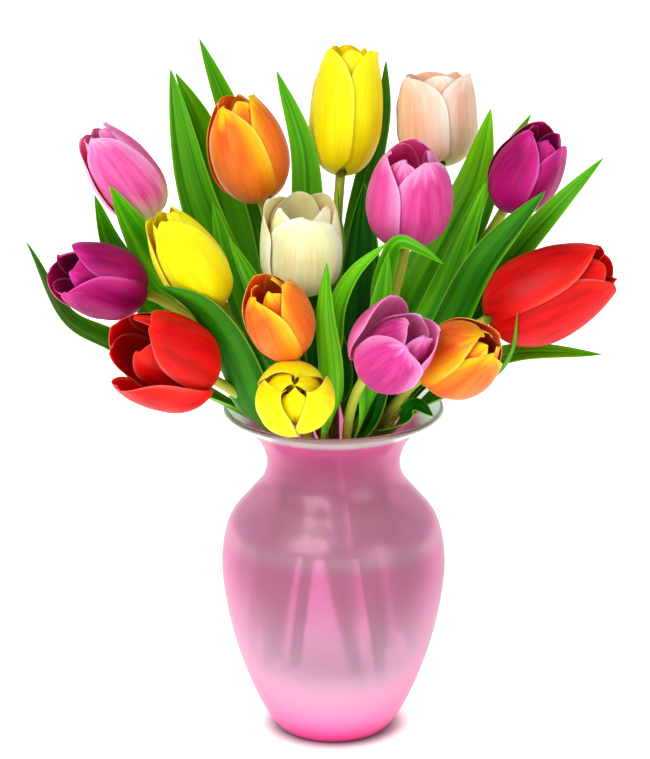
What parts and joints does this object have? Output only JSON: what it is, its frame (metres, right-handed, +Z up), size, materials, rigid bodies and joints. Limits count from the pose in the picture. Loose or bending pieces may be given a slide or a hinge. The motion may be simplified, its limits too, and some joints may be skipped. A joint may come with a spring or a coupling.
{
  "type": "tulips in a vase",
  "caption": "Bouquet of cut tulips with leaves, standing in water in a flared, round-bellied frosted glass vase.",
  "frame": {"origin": "centre of the vase's flat foot, on the surface that it stands on", "axes": "+Z up along the vase's axis; -Y is the front of the bouquet; +X is to the right seen from the front"},
  "size_m": [0.3384, 0.2186, 0.4051],
  "materials": {
    "vase_glass": "frosted glass tinted pink, deeper at the base, with a clear lip",
    "water": "clear still water",
    "stem_and_leaf": "smooth waxy leaf and stem with fine veins along it",
    "flower_heart": "matt pistil and pollen",
    "petal_yellow": "satin petal, slightly see-through, with fine veins along it",
    "petal_orange": "satin petal, slightly see-through, with fine veins along it",
    "petal_pink": "satin petal, slightly see-through, with fine veins along it",
    "petal_purple": "satin petal, slightly see-through, with fine veins along it",
    "petal_red": "satin petal, slightly see-through, with fine veins along it",
    "petal_cream": "satin petal, slightly see-through, with fine veins along it",
    "petal_rose": "satin petal, slightly see-through, with fine veins along it",
    "petal_peach": "satin petal, slightly see-through, with fine veins along it",
    "petal_mauve": "satin petal, slightly see-through, with fine veins along it"
  },
  "bodies": {
    "root": {"vase": "vase_glass", "water": "water", "yellow_top_bloom": "petal_yellow", "yellow_top_heart": "flower_heart", "yellow_top_stem": "stem_and_leaf", "orange_left_bloom": "petal_orange", "orange_left_heart": "flower_heart", "orange_left_stem": "stem_and_leaf", "pink_left_bloom": "petal_pink", "pink_left_heart": "flower_heart", "pink_left_stem": "stem_and_leaf", "yellow_left_bloom": "petal_yellow", "yellow_left_heart": "flower_heart", "yellow_left_stem": "stem_and_leaf", "purple_left_bloom": "petal_purple", "purple_left_heart": "flower_heart", "purple_left_stem": "stem_and_leaf", "red_left_bloom": "petal_red", "red_left_heart": "flower_heart", "red_left_stem": "stem_and_leaf", "cream_middle_bloom": "petal_cream", "cream_middle_heart": "flower_heart", "cream_middle_stem": "stem_and_leaf", "orange_middle_bloom": "petal_orange", "orange_middle_heart": "flower_heart", "orange_middle_stem": "stem_and_leaf", "yellow_open_bloom": "petal_yellow", "yellow_open_heart": "flower_heart", "yellow_open_stem": "stem_and_leaf", "pink_right_bloom": "petal_rose", "pink_right_heart": "flower_heart", "pink_right_stem": "stem_and_leaf", "peach_right_bloom": "petal_peach", "peach_right_heart": "flower_heart", "peach_right_stem": "stem_and_leaf", "purple_right_bloom": "petal_purple", "purple_right_heart": "flower_heart", "purple_right_stem": "stem_and_leaf", "red_right_bloom": "petal_red", "red_right_heart": "flower_heart", "red_right_stem": "stem_and_leaf", "mauve_middle_bloom": "petal_mauve", "mauve_middle_heart": "flower_heart", "mauve_middle_stem": "stem_and_leaf", "orange_right_bloom": "petal_orange", "orange_right_heart": "flower_heart", "orange_right_stem": "stem_and_leaf"}
  },
  "joints": []
}
